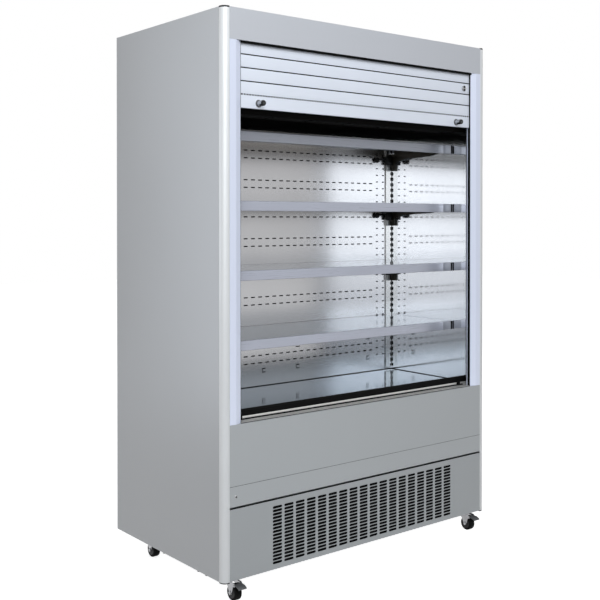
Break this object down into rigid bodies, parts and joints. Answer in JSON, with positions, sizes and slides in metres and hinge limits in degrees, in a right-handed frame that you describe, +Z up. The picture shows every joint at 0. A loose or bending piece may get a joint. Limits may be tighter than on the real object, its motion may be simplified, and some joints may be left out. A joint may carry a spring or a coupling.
{
  "type": "open display refrigerator",
  "caption": "Upright open-front refrigerated display cabinet on castors, with a roll-down slatted shutter, tiered lipped shelves and a slotted lower grille.",
  "frame": {"origin": "middle of the footprint on the floor (the footprint runs from the brake pedal tips at the front to the rear face)", "axes": "+X to the right as seen from the front, the front faces -Y, +Z up"},
  "size_m": [1.2, 0.693, 1.83],
  "materials": {
    "side_panel_left": "satin silver grey",
    "corner_post_left": "satin anodised",
    "post_cap_left": "matte black",
    "inner_side_left": "bright stainless",
    "shelf_upright_left": "stainless",
    "guide_rail_left": "satin anodised",
    "side_panel_right": "satin silver grey",
    "corner_post_right": "satin anodised",
    "post_cap_right": "matte black",
    "inner_side_right": "bright stainless",
    "shelf_upright_right": "stainless",
    "guide_rail_right": "satin anodised",
    "fascia_panel": "satin silver grey",
    "head_brush_seal": "black pile",
    "roof_panel": "satin silver grey",
    "rear_panel": "satin silver grey",
    "rear_vent_panel": "satin grey",
    "front_panel": "satin grey",
    "front_strip": "satin grey",
    "kick_grille": "satin grey",
    "display_tub": "stainless skin",
    "sill_bumper": "black",
    "deck_pan": "bright stainless",
    "inner_back_panel": "bright stainless",
    "canopy_duct": "black",
    "air_outlet_grid": "black",
    "shelf_1": "brushed stainless",
    "shelf_brackets_1": "black",
    "shelf_2": "brushed stainless",
    "shelf_brackets_2": "black",
    "shelf_3": "brushed stainless",
    "shelf_brackets_3": "black",
    "shelf_4": "brushed stainless",
    "shelf_brackets_4": "black",
    "shutter_bottom_rail": "satin anodised",
    "shutter_curtain_1": "satin anodised",
    "shutter_curtain_2": "satin anodised",
    "shutter_curtain_3": "satin anodised",
    "shutter_curtain_4": "satin anodised",
    "shutter_curtain_5": "satin anodised",
    "slat_button": "polished",
    "lock_barrel_left": "polished",
    "lock_barrel_right": "polished",
    "shutter_barrel": "galvanised",
    "base_frame": "galvanised",
    "castor_fork_front_left": "zinc plated",
    "castor_wheel_front_left": "black",
    "castor_fork_front_right": "zinc plated",
    "castor_wheel_front_right": "black",
    "castor_fork_rear_left": "zinc plated",
    "castor_wheel_rear_left": "black",
    "castor_fork_rear_right": "zinc plated",
    "castor_wheel_rear_right": "black",
    "brake_pedal_front_left": "dark grey",
    "brake_pedal_front_right": "dark grey",
    "condenser": "finned",
    "condenser_fan": "black",
    "compressor": "gloss black",
    "evaporator": "finned",
    "evaporator_fan": "black"
  },
  "bodies": {
    "cabinet": {"side_panel_left": "side_panel_left", "corner_post_left": "corner_post_left", "post_cap_left": "post_cap_left", "inner_side_left": "inner_side_left", "shelf_upright_left": "shelf_upright_left", "guide_rail_left": "guide_rail_left", "side_panel_right": "side_panel_right", "corner_post_right": "corner_post_right", "post_cap_right": "post_cap_right", "inner_side_right": "inner_side_right", "shelf_upright_right": "shelf_upright_right", "guide_rail_right": "guide_rail_right", "fascia_panel": "fascia_panel", "head_brush_seal": "head_brush_seal", "roof_panel": "roof_panel", "rear_panel": "rear_panel", "rear_vent_panel": "rear_vent_panel", "front_panel": "front_panel", "front_strip": "front_strip", "kick_grille": "kick_grille", "display_tub": "display_tub", "sill_bumper": "sill_bumper", "deck_pan": "deck_pan", "inner_back_panel": "inner_back_panel", "canopy_duct": "canopy_duct", "air_outlet_grid": "air_outlet_grid", "shelf_1": "shelf_1", "shelf_brackets_1": "shelf_brackets_1", "shelf_2": "shelf_2", "shelf_brackets_2": "shelf_brackets_2", "shelf_3": "shelf_3", "shelf_brackets_3": "shelf_brackets_3", "shelf_4": "shelf_4", "shelf_brackets_4": "shelf_brackets_4", "shutter_curtain_5": "shutter_curtain_5", "base_frame": "base_frame", "condenser": "condenser", "compressor": "compressor", "evaporator": "evaporator"},
    "shutter": {"shutter_bottom_rail": "shutter_bottom_rail", "shutter_curtain_1": "shutter_curtain_1", "slat_button": "slat_button"},
    "curtain_2": {"shutter_curtain_2": "shutter_curtain_2"},
    "curtain_3": {"shutter_curtain_3": "shutter_curtain_3"},
    "curtain_4": {"shutter_curtain_4": "shutter_curtain_4"},
    "barrel": {"shutter_barrel": "shutter_barrel"},
    "lock_left": {"lock_barrel_left": "lock_barrel_left"},
    "lock_right": {"lock_barrel_right": "lock_barrel_right"},
    "condenser_fan": {"condenser_fan": "condenser_fan"},
    "evaporator_fan": {"evaporator_fan": "evaporator_fan"},
    "castor_front_left": {"castor_fork_front_left": "castor_fork_front_left"},
    "wheel_front_left": {"castor_wheel_front_left": "castor_wheel_front_left"},
    "castor_front_right": {"castor_fork_front_right": "castor_fork_front_right"},
    "wheel_front_right": {"castor_wheel_front_right": "castor_wheel_front_right"},
    "castor_rear_left": {"castor_fork_rear_left": "castor_fork_rear_left"},
    "wheel_rear_left": {"castor_wheel_rear_left": "castor_wheel_rear_left"},
    "castor_rear_right": {"castor_fork_rear_right": "castor_fork_rear_right"},
    "wheel_rear_right": {"castor_wheel_rear_right": "castor_wheel_rear_right"},
    "pedal_front_left": {"brake_pedal_front_left": "brake_pedal_front_left"},
    "pedal_front_right": {"brake_pedal_front_right": "brake_pedal_front_right"}
  },
  "joints": [
    {"name": "shutter_slide", "type": "slide", "parent": "cabinet", "child": "shutter", "axis": [0, 0, -1], "range_m": [0, 0.973]},
    {"name": "curtain_2_slide", "type": "slide", "parent": "cabinet", "child": "curtain_2", "axis": [0, 0, -1], "range_m": [0, 0.73]},
    {"name": "curtain_3_slide", "type": "slide", "parent": "cabinet", "child": "curtain_3", "axis": [0, 0, -1], "range_m": [0, 0.487]},
    {"name": "curtain_4_slide", "type": "slide", "parent": "cabinet", "child": "curtain_4", "axis": [0, 0, -1], "range_m": [0, 0.244]},
    {"name": "barrel_spin", "type": "hinge", "parent": "cabinet", "child": "barrel", "pos_m": [0, -0.2035, 1.71], "axis": [1, 0, 0], "range_deg": [0, 1400]},
    {"name": "lock_left_push", "type": "slide", "parent": "shutter", "child": "lock_left", "axis": [0, 1, 0], "range_m": [0, 0.007], "stiffness_N_per_m": 200},
    {"name": "lock_right_push", "type": "slide", "parent": "shutter", "child": "lock_right", "axis": [0, 1, 0], "range_m": [0, 0.007], "stiffness_N_per_m": 200},
    {"name": "castor_front_left_swivel", "type": "hinge", "parent": "cabinet", "child": "castor_front_left", "pos_m": [-0.54, -0.2785, 0.062], "axis": [0, 0, 1], "continuous": true},
    {"name": "wheel_front_left_roll", "type": "hinge", "parent": "castor_front_left", "child": "wheel_front_left", "pos_m": [-0.54, -0.3005, 0.025], "axis": [1, 0, 0], "continuous": true},
    {"name": "pedal_front_left_press", "type": "hinge", "parent": "castor_front_left", "child": "pedal_front_left", "pos_m": [-0.54, -0.3165, 0.051], "axis": [1, 0, 0], "range_deg": [0, 18]},
    {"name": "castor_front_right_swivel", "type": "hinge", "parent": "cabinet", "child": "castor_front_right", "pos_m": [0.54, -0.2785, 0.062], "axis": [0, 0, 1], "continuous": true},
    {"name": "wheel_front_right_roll", "type": "hinge", "parent": "castor_front_right", "child": "wheel_front_right", "pos_m": [0.54, -0.3005, 0.025], "axis": [1, 0, 0], "continuous": true},
    {"name": "pedal_front_right_press", "type": "hinge", "parent": "castor_front_right", "child": "pedal_front_right", "pos_m": [0.54, -0.3165, 0.051], "axis": [1, 0, 0], "range_deg": [0, 18]},
    {"name": "castor_rear_left_swivel", "type": "hinge", "parent": "cabinet", "child": "castor_rear_left", "pos_m": [-0.54, 0.2145, 0.062], "axis": [0, 0, 1], "continuous": true},
    {"name": "wheel_rear_left_roll", "type": "hinge", "parent": "castor_rear_left", "child": "wheel_rear_left", "pos_m": [-0.54, 0.1925, 0.025], "axis": [1, 0, 0], "continuous": true},
    {"name": "castor_rear_right_swivel", "type": "hinge", "parent": "cabinet", "child": "castor_rear_right", "pos_m": [0.54, 0.2145, 0.062], "axis": [0, 0, 1], "continuous": true},
    {"name": "wheel_rear_right_roll", "type": "hinge", "parent": "castor_rear_right", "child": "wheel_rear_right", "pos_m": [0.54, 0.1925, 0.025], "axis": [1, 0, 0], "continuous": true},
    {"name": "condenser_fan_spin", "type": "hinge", "parent": "cabinet", "child": "condenser_fan", "pos_m": [-0.24, -0.2375, 0.182], "axis": [0, 1, 0], "continuous": true},
    {"name": "evaporator_fan_spin", "type": "hinge", "parent": "cabinet", "child": "evaporator_fan", "pos_m": [0, 0.212, 0.59], "axis": [0, 0, 1], "continuous": true}
  ],
  "couplings": [
    {"joint": "curtain_2_slide", "follows": "shutter_slide", "ratio": 0.75},
    {"joint": "curtain_3_slide", "follows": "shutter_slide", "ratio": 0.5},
    {"joint": "curtain_4_slide", "follows": "shutter_slide", "ratio": 0.25},
    {"joint": "barrel_spin", "follows": "shutter_slide", "rad_per_m": 25}
  ]
}
